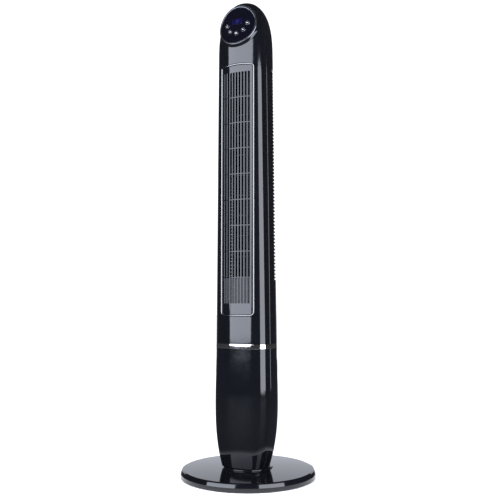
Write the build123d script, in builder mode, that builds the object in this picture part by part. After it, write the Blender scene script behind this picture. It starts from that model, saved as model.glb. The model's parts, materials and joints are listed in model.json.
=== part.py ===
"""Tower fan on a round base: an oscillating column with a cross-flow impeller.

Millimetres, +Z up, the fan blows towards -Y. The origin is the centre of the base on the floor, and
the column turns about the Z axis.
"""

import os
from math import asin, atan2, cos, pi, radians, sin, sqrt, tan

from build123d import *

# ---- driving dimensions ----
total_height = 1164.5
base_radius = 163.0
wall = 2.8                # moulded shell thickness
fit_gap = 0.3             # clearance between pieces that only sit together
seam_y = -21.0            # plane where front and rear shells meet
seam_gap = 0.4

foot_z = 29.5             # underside of the column shell
band_z = 310.5            # underside of the bright band
band_height = 11.0
head_z = 1036.0           # where the column starts to round over
belly_z = 182.0           # widest height of the lower column

front_depth = 62.0        # axis to the middle of the outlet face
front_radius = 140.0      # curvature of the outlet face in plan
band_half_width = 71.0
head_half_width = 61.8
belly_half_width = 72.8
foot_half_width = 53.6
belly_depth = 64.0
foot_depth = 54.5

grille_half_width = 43.0  # clear width inside the outlet frame
frame_width = 3.4
frame_low = 388.0
frame_high = 992.0        # where the arched top springs from
frame_rise = 9.0
frame_corner = 10.0
slot_low = 417.5
slot_high = 981.0
cell_count = 9
slot_count = 9
slot_pitch = 8.25
slot_width = 4.4
bar_height = 2.2
cell_pitch = (slot_high - slot_low) / cell_count

louvre_low = 478.0
louvre_high = 997.0
louvre_count = 60
louvre_thick = 3.0
louvre_depth = 5.0
louvre_recess = 1.0       # the louvres lie a little below the shell around them
louvre_side = 5.0         # angle from the side at which the intake starts
spine_count = 7

panel_y = -60.0           # centre of the control panel
panel_z = 1098.0
panel_tilt = 9.0
panel_radius = 51.0
panel_curve = 180.0       # radius of the panel's sideways curve
lens_radius = 46.6
button_radius = 6.1
button_travel = 0.8
button_names = ["power", "speed", "mode", "timer", "swing"]
button_circle = 28.4      # the buttons stand on an arc around a point above the middle
button_lift = 6.5

impeller_y = 4.0
impeller_radius = 40.0
impeller_low = 482.0
impeller_section = 99.2
impeller_sections = 5
blade_count = 28
blade_depth = 8.0
shaft_radius = 4.0

spindle_radius = 20.0
gear_module = 1.25
fixed_teeth = 48
pinion_teeth = 16
gear_z = 66.0
gear_height = 8.0

# ---- worked-out dimensions ----
band_top = band_z + band_height
duct_floor_z = impeller_low - 8.5
duct_ceiling_z = impeller_low + impeller_sections * impeller_section + 6.0
plate = 4.0               # thickness of the internal cross plates
gear_centres = gear_module * (fixed_teeth + pinion_teeth) / 2
head_height = total_height - head_z


# ---- the column's plan outline ----
def column_station(z):
    """Half width, depth to the front, corner radius, face radius and centre shift at height z."""
    if z < band_top:
        if z < belly_z:
            fall = (belly_z - z) / (belly_z - foot_z)
            width = belly_half_width - (belly_half_width - foot_half_width) * fall**2.4
            depth = belly_depth - (belly_depth - foot_depth) * fall**3.2
        else:
            rise = min((z - belly_z) / (band_z - belly_z), 1.0)
            ease = rise**2 * (3 - 2 * rise)
            width = belly_half_width - (belly_half_width - band_half_width) * ease
            depth = belly_depth - (belly_depth - front_depth) * ease
        return width, depth, 0.44 * width, front_radius, 0.0
    share = (z - band_top) / (head_z - band_top)
    width = band_half_width + (head_half_width - band_half_width) * share
    corner_share = 0.44 - 0.08 * min(share, 1.0)
    if z <= head_z:
        return width, front_depth, corner_share * width, front_radius, 0.0
    t = (z - head_z) / head_height
    dome = (1 - t**2.6) ** 0.364
    width *= dome
    corner = width * (0.36 + 0.58 * t**2)
    face = front_radius * (1 - t**2) + 1.3 * width * t**2
    return width, front_depth * dome, corner, face, -10.0 * t**4.4


def column_section(z, inset=0.0):
    """The closed plan outline of the column at height z, moved in by inset."""
    width, depth, corner, face, shift = column_station(z)
    width, depth, corner, face = width - inset, depth - inset, corner - inset, face - inset
    reach = width - corner
    side = depth - face + sqrt((face - corner) ** 2 - reach**2)
    out_x, out_y = reach / (face - corner), (depth - face - side) / (face - corner)
    touch = (face * out_x, face - depth + face * out_y)
    turn = (atan2(out_y, out_x)) / 2
    middle = (reach + corner * cos(turn), -side + corner * sin(turn))
    with BuildSketch(Plane((0, shift, z))) as outline:
        with BuildLine():
            ThreePointArc((width, 0), (0, width), (-width, 0))
            Line((-width, 0), (-width, -side))
            ThreePointArc((-width, -side), (-middle[0], middle[1]), (-touch[0], touch[1]))
            ThreePointArc((-touch[0], touch[1]), (0, -depth), touch)
            ThreePointArc(touch, middle, (width, -side))
            Line((width, -side), (width, 0))
        make_face()
    return outline.sketch


def dome_heights(count, last):
    """Heights up the head that divide its curve evenly, from head_z to the share last of its height."""
    end = asin(last)
    return [head_z + head_height * sin(end * i / count) for i in range(count + 1)]


def frame_outline(half_width, low, high, rise, corner):
    """Outlet outline in X and Z: straight sides, rounded corners and an arched top."""
    arch_half = half_width - corner * 0.55
    with BuildSketch(Plane.XZ) as outline:
        with BuildLine():
            Line((-half_width, low + corner), (-half_width, high))
            ThreePointArc(
                (-half_width, high),
                (-half_width + corner * 0.2, high + rise * 0.36),
                (-arch_half, high + rise * 0.55),
            )
            ThreePointArc((-arch_half, high + rise * 0.55), (0, high + rise), (arch_half, high + rise * 0.55))
            ThreePointArc(
                (arch_half, high + rise * 0.55),
                (half_width - corner * 0.2, high + rise * 0.36),
                (half_width, high),
            )
            Line((half_width, high), (half_width, low + corner))
            RadiusArc((half_width, low + corner), (half_width - corner, low), corner)
            Line((half_width - corner, low), (-half_width + corner, low))
            RadiusArc((-half_width + corner, low), (-half_width, low + corner), corner)
        make_face()
    return outline.sketch


def face_slab(proud, deep, outline):
    """A piece that follows the outlet face, from proud of it to deep behind it, within an outline."""
    with BuildPart() as slab:
        with BuildSketch(Plane.XY.offset(frame_low - 20)):
            with Locations((0, front_radius - front_depth)):
                Circle(front_radius + proud)
                Circle(front_radius - deep, mode=Mode.SUBTRACT)
        extrude(amount=frame_high - frame_low + 60)
        with BuildSketch(Plane.XZ.offset(front_depth - 20)):
            add(outline)
        extrude(amount=40, mode=Mode.INTERSECT)
    return slab


panel_plane = Plane(
    origin=(0, panel_y, panel_z),
    x_dir=(1, 0, 0),
    z_dir=(0, -cos(radians(panel_tilt)), sin(radians(panel_tilt))),
)

pieces = []


def finish(piece, label):
    """Names a finished piece and keeps it for export."""
    piece.part.label = label
    pieces.append(piece.part)


# ================= base =================
cover_top = 24.5
collar_radius = 60.0
collar_top = 27.5
rim_height = 13.8         # top of the upright rim
shoulder_height = 21.0    # where the rounded rim meets the top
shoulder_width = 6.8
foot_pad = 2.0            # how far the rubber feet lift the base
screw_circle = 120.0
pad_circle = 140.0
boss_count = 6
inlet_z = 8.2             # height of the cord inlet in the rear of the rim

with BuildPart() as base_cover:
    with BuildSketch(Plane.XZ):
        with BuildLine():
            Line((base_radius, foot_pad), (base_radius, rim_height))
            ThreePointArc(
                (base_radius, rim_height),
                (base_radius - 2.2, shoulder_height - 2.6),
                (base_radius - shoulder_width, shoulder_height),
            )
            ThreePointArc(
                (base_radius - shoulder_width, shoulder_height), (112, cover_top - 0.9), (collar_radius + 1, cover_top)
            )
            Line((collar_radius + 1, cover_top), (collar_radius, cover_top + 1))
            Line((collar_radius, cover_top + 1), (collar_radius, collar_top - 1.2))
            RadiusArc((collar_radius, collar_top - 1.2), (collar_radius - 1.2, collar_top), -1.2)
            Line((collar_radius - 1.2, collar_top), (24.2, collar_top))
            Line((24.2, collar_top), (24.2, collar_top - 3.5))
            Line((24.2, collar_top - 3.5), (collar_radius - 3, collar_top - 3.5))
            Line((collar_radius - 3, collar_top - 3.5), (collar_radius - 3, cover_top - 3))
            Line((collar_radius - 3, cover_top - 3), (base_radius - 9.5, shoulder_height - 3.2))
            Line((base_radius - 9.5, shoulder_height - 3.2), (base_radius - 3, rim_height - 1))
            Line((base_radius - 3, rim_height - 1), (base_radius - 3, foot_pad))
            Line((base_radius - 3, foot_pad), (base_radius, foot_pad))
        make_face()
    revolve(axis=Axis.Z)
    with BuildSketch(Plane.XY.offset(4.2)):
        with PolarLocations(screw_circle, boss_count):
            Circle(4.5)
            Circle(1.7, mode=Mode.SUBTRACT)
    extrude(amount=cover_top - 8.7)
    with BuildSketch(Plane.XZ.offset(-base_radius - 1)):
        with Locations((0, inlet_z)):
            Circle(3.8)
    extrude(amount=6, mode=Mode.SUBTRACT)
finish(base_cover, "base_cover")

with BuildPart() as cord_grommet:
    with BuildSketch(Plane.XZ.offset(-base_radius - 0.8)):
        with Locations((0, inlet_z)):
            Circle(4.3)
            Circle(2.9, mode=Mode.SUBTRACT)
    extrude(amount=0.8)
    with BuildSketch(Plane.XZ.offset(-base_radius)):
        with Locations((0, inlet_z)):
            Circle(3.7)
            Circle(2.9, mode=Mode.SUBTRACT)
    extrude(amount=5)
finish(cord_grommet, "cord_grommet")

with BuildPart() as base_underplate:
    with BuildSketch(Plane.XY.offset(foot_pad)):
        Circle(base_radius - 3.4)
        Circle(42, mode=Mode.SUBTRACT)
    extrude(amount=2)
    with BuildSketch(Plane.XY.offset(foot_pad)):
        with PolarLocations(screw_circle, boss_count):
            Circle(4.0)
    extrude(amount=1.2, mode=Mode.SUBTRACT)
    with BuildSketch(Plane.XY.offset(foot_pad)):
        with PolarLocations(screw_circle, boss_count):
            Circle(1.8)
    extrude(amount=2, mode=Mode.SUBTRACT)
    with BuildSketch(Plane.XY.offset(foot_pad)):
        with PolarLocations(pad_circle, boss_count, start_angle=30):
            Circle(9.2)
    extrude(amount=1, mode=Mode.SUBTRACT)
finish(base_underplate, "base_underplate")

with BuildPart() as rubber_feet:
    with BuildSketch():
        with PolarLocations(pad_circle, boss_count, start_angle=30):
            Circle(9.0)
    extrude(amount=foot_pad + 1)
    chamfer(rubber_feet.edges().group_by(Axis.Z)[0], 0.6)
finish(rubber_feet, "rubber_feet")

with BuildPart() as base_screws:
    with BuildSketch(Plane.XY.offset(foot_pad)):
        with PolarLocations(screw_circle, boss_count):
            Circle(3.6)
    extrude(amount=1.2)
    with BuildSketch(Plane.XY.offset(foot_pad + 1.2)):
        with PolarLocations(screw_circle, boss_count):
            Circle(1.6)
    extrude(amount=12)
    with BuildSketch(Plane.XY.offset(foot_pad)):
        with PolarLocations(screw_circle, boss_count):
            Rectangle(3.6, 0.8)
            Rectangle(0.8, 3.6)
    extrude(amount=0.7, mode=Mode.SUBTRACT)
finish(base_screws, "base_screws")

with BuildPart() as ballast_ring:
    with BuildSketch(Plane.XY.offset(foot_pad + 2)):
        Circle(112)
        Circle(50, mode=Mode.SUBTRACT)
    extrude(amount=5)
finish(ballast_ring, "ballast_ring")

with BuildPart() as pivot_spindle:
    with BuildSketch(Plane.XY.offset(collar_top)):
        Circle(38)
    extrude(amount=1.7)
    with BuildSketch(Plane.XY.offset(12)):
        Circle(23.8)
    extrude(amount=collar_top - 12)
    with BuildSketch(Plane.XY.offset(collar_top + 1.7)):
        Circle(spindle_radius)
    extrude(amount=48)
    with BuildSketch(Plane.XY.offset(12)):
        Circle(12)
    extrude(amount=80, mode=Mode.SUBTRACT)
finish(pivot_spindle, "pivot_spindle")

with BuildPart() as spindle_nut:
    with BuildSketch(Plane.XY.offset(collar_top - 9.5)):
        RegularPolygon(36, 12)
        Circle(23.85, mode=Mode.SUBTRACT)
    extrude(amount=6)
finish(spindle_nut, "spindle_nut")

thrust_z = collar_top + 1.7
with BuildPart() as thrust_washer:
    with BuildSketch(Plane.XY.offset(thrust_z)):
        Circle(37)
        Circle(spindle_radius + 0.2, mode=Mode.SUBTRACT)
    extrude(amount=1.0)
finish(thrust_washer, "thrust_washer")

turntable_z = thrust_z + 1.0 + 0.05
hub_top = 60.0
with BuildPart() as retaining_ring:
    with BuildSketch(Plane.XY.offset(hub_top + 0.4)):
        Circle(26)
        Circle(spindle_radius + 0.02, mode=Mode.SUBTRACT)
    extrude(amount=2)
finish(retaining_ring, "retaining_ring")


# ---- gears ----
def gear_outline(teeth, bore, backlash):
    """A spur gear's outline with involute flanks, one tooth centred on +X."""
    pitch = gear_module * teeth / 2
    root = pitch - 1.05 * gear_module
    tip = pitch + 0.8 * gear_module
    pressure = radians(20)
    base = pitch * cos(pressure)
    start = max(base, root)
    half_tooth = pi / (2 * teeth) - backlash / (2 * pitch) + tan(pressure) - pressure

    def flank(radius):
        roll = sqrt(max((radius / base) ** 2 - 1, 0.0))
        return half_tooth - (roll - atan2(roll, 1))

    radii = [start + (tip - start) * i / 4 for i in range(5)]
    with BuildSketch(mode=Mode.PRIVATE) as outline:
        Circle(root)
        with BuildSketch(mode=Mode.PRIVATE) as tooth:
            with BuildLine():
                foot = flank(start)
                rising = [(r * cos(flank(r)), r * sin(flank(r))) for r in radii]
                falling = [(x, -y) for x, y in reversed(rising)]
                inner = root - 0.5
                Spline(*rising)
                Line(rising[-1], falling[0])
                Spline(*falling)
                Polyline(
                    falling[-1],
                    (inner * cos(foot), -inner * sin(foot)),
                    (inner * cos(foot), inner * sin(foot)),
                    rising[0],
                )
            make_face()
        with PolarLocations(0, teeth):
            add(tooth.sketch)
        Circle(bore, mode=Mode.SUBTRACT)
    return outline.sketch


with BuildPart() as fixed_gear:
    with BuildSketch(Plane.XY.offset(gear_z)):
        add(gear_outline(fixed_teeth, spindle_radius + 0.02, 0.24))
    extrude(amount=gear_height)
finish(fixed_gear, "fixed_gear")

# ================= oscillation drive =================
# The pinion turns behind the spindle, with a gap of its own facing the fixed gear's tooth on +Y.
shaft_y = gear_centres
pinion_turn = 180 / pinion_teeth - 90
with BuildPart() as drive_pinion:
    with BuildSketch(Plane((0, shaft_y, gear_z + 0.5)).rotated((0, 0, pinion_turn))):
        add(gear_outline(pinion_teeth, 2.52, 0.24))
    extrude(amount=gear_height - 1)
finish(drive_pinion, "drive_pinion")

bracket_z = 77.5
bracket_plate = 2.6
board_z = 120.0
board_posts = [(-37, -24), (37, -24), (-39, 12), (39, 12)]
with BuildPart() as pinion_shaft:
    with BuildSketch(Plane.XY.offset(gear_z - 0.5)):
        with Locations((0, shaft_y)):
            Circle(2.5)
    extrude(amount=bracket_z + bracket_plate + 0.1 - gear_z)
finish(pinion_shaft, "pinion_shaft")

post_places = [(44 * cos(radians(a)), 44 * sin(radians(a))) for a in (15, 165, 215, 325)]
with BuildPart() as turntable:
    with BuildSketch(Plane.XY.offset(turntable_z)):
        add(column_section(turntable_z, wall + fit_gap).moved(Location((0, 0, -turntable_z))))
    extrude(amount=plate)
    with BuildSketch(Plane.XY.offset(turntable_z)):
        Circle(27)
    extrude(amount=hub_top - turntable_z)
    with BuildSketch(Plane.XY.offset(turntable_z)):
        Circle(spindle_radius + 0.08)
    extrude(amount=60, mode=Mode.SUBTRACT)
    with BuildSketch(Plane.XY.offset(turntable_z)):
        with Locations(*post_places):
            Circle(1.7)
    extrude(amount=plate, mode=Mode.SUBTRACT)
finish(turntable, "turntable")

with BuildPart() as drive_bracket:
    with BuildSketch(Plane.XY.offset(bracket_z)):
        Circle(51)
        Circle(14, mode=Mode.SUBTRACT)
        with Locations((0, shaft_y)):
            Circle(6, mode=Mode.SUBTRACT)
    extrude(amount=bracket_plate)
    with BuildSketch(Plane.XY.offset(turntable_z + plate)):
        with Locations(*post_places):
            Circle(3.6)
            Circle(1.5, mode=Mode.SUBTRACT)
    extrude(amount=bracket_z - turntable_z - plate)
    with BuildSketch(Plane.XY.offset(bracket_z + bracket_plate)):
        with Locations(*board_posts):
            Circle(3)
    extrude(amount=board_z - bracket_z - bracket_plate)
finish(drive_bracket, "drive_bracket")

with BuildPart() as bracket_screws:
    with BuildSketch(Plane.XY.offset(turntable_z)):
        with Locations(*post_places):
            Circle(1.45)
    extrude(amount=16)
finish(bracket_screws, "bracket_screws")

motor_seat = bracket_z + bracket_plate
with BuildPart() as oscillation_motor:
    with BuildSketch(Plane.XY.offset(motor_seat)):
        with Locations((0, 32)):
            Circle(20)
        with Locations((0, shaft_y)):
            Circle(5, mode=Mode.SUBTRACT)
    extrude(amount=3)
    with BuildSketch(Plane.XY.offset(motor_seat + 3)):
        with Locations((0, 32)):
            Circle(20)
    extrude(amount=15)
    with BuildSketch(Plane.XY.offset(motor_seat)):
        with Locations((-24, 32), (24, 32)):
            Rectangle(12, 9)
            Circle(2, mode=Mode.SUBTRACT)
    extrude(amount=1.4)
    fillet(oscillation_motor.edges().group_by(Axis.Z)[-1], 1.5)
finish(oscillation_motor, "oscillation_motor")

# ================= power electronics in the lower column =================
with BuildPart() as power_board:
    with BuildSketch(Plane.XY.offset(board_z)):
        RectangleRounded(90, 62, 4)
        with Locations(*board_posts):
            Circle(1.6, mode=Mode.SUBTRACT)
    extrude(amount=1.6)
finish(power_board, "power_board")

board_top = board_z + 1.6
with BuildPart() as board_components:
    for place, size, height in (
        ((-18, 6), (26, 22), 22),
        ((14, 14), (15, 19), 16),
        ((14, -8), (15, 19), 16),
        ((-24, -18), (20, 10), 12),
        ((33, -8), (10, 16), 10),
    ):
        with BuildSketch(Plane.XY.offset(board_top)):
            with Locations(place):
                Rectangle(*size)
        extrude(amount=height)
    with BuildSketch(Plane.XY.offset(board_top)):
        with Locations((-2, -20), (33, 20), (-36, 24)):
            Circle(5)
    extrude(amount=14)
finish(board_components, "board_components")


# ================= lower column shells =================
screw_seat = 65.0         # the rear screws' heads rest on flats at this depth
lower_screws = [(-24.0, 302.5), (24.0, 302.5)]
upper_screws = [(-24.0, 331.5), (24.0, 331.5)]
screw_places = lower_screws + upper_screws


def cut_screw_seats(places):
    """Holes and recessed seats for the screws that enter from behind."""
    for depth, radius in ((screw_seat - 6, 1.6), (screw_seat, 3.3)):
        with BuildSketch(Plane.XZ.offset(-depth)) as seats:
            with Locations(*places):
                Circle(radius)
        extrude(seats.sketch, amount=-20, mode=Mode.SUBTRACT)


lower_count = 9
lower_heights = [foot_z + (band_z - foot_z) * i / lower_count for i in range(lower_count + 1)]

with BuildPart() as lower_tube:
    for z in lower_heights:
        add(column_section(z))
    loft()
    for z in [foot_z - 1] + lower_heights[1:-1] + [band_z + 1]:
        add(column_section(z, wall))
    loft(mode=Mode.SUBTRACT)

with BuildPart() as lower_front_shell:
    add(lower_tube.part)
    split(bisect_by=Plane.XZ.offset(-seam_y + seam_gap / 2), keep=Keep.TOP)
finish(lower_front_shell, "lower_front_shell")

with BuildPart() as lower_rear_shell:
    add(lower_tube.part)
    split(bisect_by=Plane.XZ.offset(-seam_y - seam_gap / 2), keep=Keep.BOTTOM)
    cut_screw_seats(lower_screws)
finish(lower_rear_shell, "lower_rear_shell")

with BuildPart() as joint_ring:
    add(column_section(band_top, wall + fit_gap + 0.2).moved(Location((0, 0, -band_height - 16))))
    extrude(amount=band_height + 34)
    with BuildSketch(Plane.XY.offset(band_z - 20)):
        Circle(52)
    extrude(amount=60, mode=Mode.SUBTRACT)
    with Locations(*[Location((x, screw_seat - 7, z), (90, 0, 0)) for x, z in screw_places]):
        Cylinder(1.35, 16, mode=Mode.SUBTRACT)
finish(joint_ring, "joint_ring")

with BuildPart() as bright_band:
    with BuildSketch(Plane.XY.offset(band_z)):
        add(column_section(band_top, -0.6).moved(Location((0, 0, -band_top))))
        add(column_section(band_top, wall).moved(Location((0, 0, -band_top))), mode=Mode.SUBTRACT)
    extrude(amount=band_height)
finish(bright_band, "bright_band")

with BuildPart() as shell_screws:
    for x, z in screw_places:
        with BuildSketch(Plane.XZ.offset(-screw_seat)):
            with Locations((x, z)):
                Circle(1.3)
        extrude(amount=10)
        with BuildSketch(Plane.XZ.offset(-screw_seat - 1.5)):
            with Locations((x, z)):
                Circle(3.0)
        extrude(amount=1.5)
    for x, z in screw_places:
        with BuildSketch(Plane.XZ.offset(-screw_seat - 1.5)):
            with Locations((x, z)):
                Rectangle(3, 0.7)
                Rectangle(0.7, 3)
        extrude(amount=0.8, mode=Mode.SUBTRACT)
finish(shell_screws, "shell_screws")

# ================= upper column shells =================
straight_count = 14
straight_heights = [band_top + (head_z - band_top) * i / straight_count for i in range(straight_count)]
with BuildPart() as upper_tube:
    for heights, inset, mode in (
        (straight_heights + dome_heights(9, 0.999), 0, Mode.ADD),
        (straight_heights + dome_heights(7, 0.94), wall, Mode.SUBTRACT),
    ):
        for z in heights:
            add(column_section(z, inset))
        loft(mode=mode)

frame_out = grille_half_width + frame_width
window = frame_outline(frame_out + 0.8, frame_low - 0.8, frame_high, frame_rise + 0.8, frame_corner + 0.8)
housing_radius = panel_radius + 0.4
housing_back = -24.0      # depth of the housing behind the panel's middle

with BuildPart() as upper_front_shell:
    add(upper_tube.part)
    split(bisect_by=Plane.XZ.offset(-seam_y + seam_gap / 2), keep=Keep.TOP)
    with BuildSketch(Plane.XZ.offset(40)):
        add(window)
    extrude(amount=40, mode=Mode.SUBTRACT)
    with BuildSketch(panel_plane.offset(housing_back - 1)):
        Circle(housing_radius + 0.25)
    extrude(amount=50, mode=Mode.SUBTRACT)
finish(upper_front_shell, "upper_front_shell")

with BuildPart() as upper_rear_shell:
    add(upper_tube.part)
    split(bisect_by=Plane.XZ.offset(-seam_y - seam_gap / 2), keep=Keep.BOTTOM)
    with BuildSketch(Plane.XY.offset(louvre_low - 3)):
        with BuildLine():
            reach = 100.0
            edge = radians(louvre_side - 1)
            Polyline(
                (10, 2),
                (reach * cos(edge), reach * sin(edge)),
                (reach, reach),
                (-reach, reach),
                (-reach * cos(edge), reach * sin(edge)),
                (-10, 2),
                close=True,
            )
        make_face()
    extrude(amount=louvre_high - louvre_low + 6, mode=Mode.SUBTRACT)
    cut_screw_seats(upper_screws)
finish(upper_rear_shell, "upper_rear_shell")

# ---- outlet ----
frame_ring = frame_outline(frame_out, frame_low, frame_high, frame_rise, frame_corner)
frame_hole = frame_outline(
    grille_half_width, frame_low + frame_width, frame_high, frame_rise - frame_width, frame_corner - frame_width
)

grille_frame = face_slab(1.0, 4.5, frame_ring)
with BuildPart() as outlet_frame:
    add(grille_frame.part)
    with BuildSketch(Plane.XZ.offset(20)):
        add(frame_hole)
    extrude(amount=80, mode=Mode.SUBTRACT)
finish(outlet_frame, "outlet_frame")

insert_outline = frame_outline(
    grille_half_width - 0.2, frame_low + frame_width + 0.2, frame_high, frame_rise - frame_width - 0.2,
    frame_corner - frame_width,
)
grille_plate = face_slab(-1.5, 4.5, insert_outline)
with BuildPart() as front_grille:
    add(grille_plate.part)
    for cell in range(1, cell_count):
        with BuildSketch(Plane.XZ.offset(20)):
            with Locations((0, slot_low + cell_pitch * (cell + 0.5))):
                with GridLocations(slot_pitch, 1, slot_count, 1):
                    Rectangle(slot_width, cell_pitch - bar_height)
        extrude(amount=80, mode=Mode.SUBTRACT)
finish(front_grille, "front_grille")

# ---- intake ----
with BuildPart() as rear_grille:
    for row in range(louvre_count):
        z = louvre_low + (louvre_high - louvre_low) * (row + 0.5) / louvre_count
        outer = column_station(z)[0] - louvre_recess
        with BuildSketch(Plane.XY.offset(z - louvre_thick / 2)):
            Circle(outer)
            Circle(outer - louvre_depth, mode=Mode.SUBTRACT)
            with BuildLine():
                edge = radians(louvre_side)
                Polyline(
                    (-100 * cos(edge), 100 * sin(edge)), (-20, 20 * tan(edge)), (20, 20 * tan(edge)),
                    (100 * cos(edge), 100 * sin(edge)), (100, -100), (-100, -100), close=True,
                )
            make_face(mode=Mode.SUBTRACT)
        extrude(amount=louvre_thick)
    spine_step = (180 - 2 * louvre_side - 6) / (spine_count - 1)
    for spine in range(spine_count):
        angle = louvre_side + 3 + spine * spine_step
        low_r = column_station(louvre_low)[0] - 2.2
        high_r = column_station(louvre_high)[0] - 2.2
        with BuildSketch(Plane.XY.offset(louvre_low - 2.5)):
            with Locations(Location((0, 0), angle)):
                with Locations((low_r - 2, 0)):
                    Rectangle(4, 3)
        with BuildSketch(Plane.XY.offset(louvre_high + 2.5)):
            with Locations(Location((0, 0), angle)):
                with Locations((high_r - 2, 0)):
                    Rectangle(4, 3)
        loft()
finish(rear_grille, "rear_grille")

# ================= air duct =================
wall_low = duct_floor_z + plate
duct_inset = 6.8          # the duct stays clear of the louvres and their spines
wall_height = duct_ceiling_z - wall_low


def scroll_points(offset):
    """The scroll wall's curve, opening steadily from the rear round to the outlet."""
    points = []
    for i in range(6):
        angle = radians(30 + 105 * i / 5)
        radius = 42.5 + 11.5 * i / 5 + offset
        points.append((radius * sin(angle), impeller_y + radius * cos(angle)))
    return points


sheet = 1.6
with BuildPart() as scroll_wall:
    with BuildSketch(Plane.XY.offset(wall_low)):
        with BuildLine():
            inner_curve = scroll_points(0)
            outer_curve = scroll_points(sheet)
            Spline(*inner_curve)
            Polyline(inner_curve[-1], (41.5, -47.5), (41.5 + sheet, -47.0), outer_curve[-1])
            Spline(*outer_curve)
            Line(outer_curve[0], inner_curve[0])
        make_face()
    extrude(amount=wall_height)
finish(scroll_wall, "scroll_wall")

with BuildPart() as vortex_tongue:
    with BuildSketch(Plane.XY.offset(wall_low)):
        with BuildLine():
            Polyline((-45.5, -13), (-42.4, -47.0), (-40.8, -47.5), (-33.2, -28.5))
            ThreePointArc((-33.2, -28.5), (-35.6, -22.8), (-43.7, -13))
            Line((-43.7, -13), (-45.5, -13))
        make_face()
    extrude(amount=wall_height)
finish(vortex_tongue, "vortex_tongue")

with BuildPart() as duct_floor:
    add(column_section(duct_floor_z, duct_inset))
    extrude(amount=plate)
    split(bisect_by=Plane.XZ.offset(49), keep=Keep.BOTTOM)
    with BuildSketch(Plane.XY.offset(duct_floor_z)):
        with Locations((0, impeller_y)):
            Circle(16)
    extrude(amount=plate, mode=Mode.SUBTRACT)
finish(duct_floor, "duct_floor")

bearing_outer = 8.0
with BuildPart() as duct_ceiling:
    add(column_section(duct_ceiling_z + plate, duct_inset).moved(Location((0, 0, -plate))))
    extrude(amount=plate)
    split(bisect_by=Plane.XZ.offset(49), keep=Keep.BOTTOM)
    with BuildSketch(Plane.XY.offset(duct_ceiling_z)):
        with Locations((0, impeller_y)):
            Circle(13)
    extrude(amount=12)
    with BuildSketch(Plane.XY.offset(duct_ceiling_z)):
        with Locations((0, impeller_y)):
            Circle(bearing_outer + 0.05)
    extrude(amount=12, mode=Mode.SUBTRACT)
finish(duct_ceiling, "duct_ceiling")

with BuildPart() as top_bearing:
    with BuildSketch(Plane.XY.offset(duct_ceiling_z + 1)):
        with Locations((0, impeller_y)):
            Circle(bearing_outer)
            Circle(3.06, mode=Mode.SUBTRACT)
    extrude(amount=9)
finish(top_bearing, "top_bearing")

# ================= impeller =================
disc_thick = 1.6
with BuildSketch() as blade:
    inner_r = impeller_radius - blade_depth - 0.5
    outer_r = impeller_radius - 1.6
    mid_r = (inner_r + outer_r) / 2
    with BuildLine():
        ThreePointArc((inner_r, 0), (mid_r, 1.9), (outer_r, 5.2))
        Line((outer_r, 5.2), (outer_r - 0.7, 6.2))
        ThreePointArc((outer_r - 0.7, 6.2), (mid_r - 0.3, 3.1), (inner_r, 1.1))
        Line((inner_r, 1.1), (inner_r, 0))
    make_face()

for section in range(impeller_sections):
    low = impeller_low + section * impeller_section
    with BuildPart() as impeller_part:
        with BuildSketch(Plane((0, impeller_y, low))):
            Circle(impeller_radius)
            Circle(shaft_radius + 0.03 if section == 0 else 6, mode=Mode.SUBTRACT)
        extrude(amount=disc_thick)
        with BuildSketch(Plane((0, impeller_y, low + impeller_section / 2))):
            Circle(impeller_radius)
            Circle(impeller_radius - blade_depth, mode=Mode.SUBTRACT)
        extrude(amount=1.2)
        if section == 0:
            with BuildSketch(Plane((0, impeller_y, low - 10))):
                Circle(12)
                Circle(shaft_radius + 0.03, mode=Mode.SUBTRACT)
            extrude(amount=10)
        with BuildSketch(Plane((0, impeller_y, low + disc_thick))):
            with PolarLocations(0, blade_count):
                add(blade.sketch)
        extrude(amount=impeller_section - disc_thick)
    finish(impeller_part, f"impeller_section_{section + 1}")

impeller_top = impeller_low + impeller_sections * impeller_section
with BuildPart() as impeller_top_shaft:
    with BuildSketch(Plane((0, impeller_y, impeller_top))):
        Circle(impeller_radius)
    extrude(amount=disc_thick)
    with BuildSketch(Plane((0, impeller_y, impeller_top + disc_thick))):
        Circle(9)
    extrude(amount=2)
    with BuildSketch(Plane((0, impeller_y, impeller_top + disc_thick))):
        Circle(3)
    extrude(amount=16)
finish(impeller_top_shaft, "impeller_top_shaft")

# ================= fan motor =================
motor_low = 356.0
core_low = motor_low + 18
core_height = 30.0
core_radius = 38.0
bell_thick = 2.0
bush_radius = 9.0


def bell_profile(plane_z, direction):
    """Half section of an end bell, from the core's face outwards along direction."""
    depth = 18.0 * direction
    shell = bell_thick * direction
    with BuildSketch(Plane.XZ.offset(-impeller_y)) as profile:
        with BuildLine():
            Polyline(
                (core_radius, plane_z),
                (core_radius, plane_z + depth * 0.75),
                (core_radius - 5, plane_z + depth),
                (bush_radius + 0.05, plane_z + depth),
                (bush_radius + 0.05, plane_z + depth - 8 * direction),
                (bush_radius + 2.5, plane_z + depth - 8 * direction),
                (bush_radius + 2.5, plane_z + depth - shell),
                (core_radius - 6, plane_z + depth - shell),
                (core_radius - 2, plane_z + depth * 0.7),
                (core_radius - 2, plane_z),
                close=True,
            )
        make_face()
    return profile.sketch


motor_axis = Axis((0, impeller_y, 0), (0, 0, 1))
with BuildPart() as motor_bell_lower:
    add(bell_profile(core_low, -1))
    revolve(axis=motor_axis)
finish(motor_bell_lower, "motor_bell_lower")

with BuildPart() as motor_bell_upper:
    add(bell_profile(core_low + core_height, 1))
    revolve(axis=motor_axis)
finish(motor_bell_upper, "motor_bell_upper")

with BuildPart() as stator_core:
    with BuildSketch(Plane((0, impeller_y, core_low))):
        Circle(core_radius)
        Circle(22, mode=Mode.SUBTRACT)
        with PolarLocations(0, 12):
            with Locations((25.5, 0)):
                Rectangle(8, 4, mode=Mode.SUBTRACT)
    extrude(amount=core_height)
finish(stator_core, "stator_core")

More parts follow.
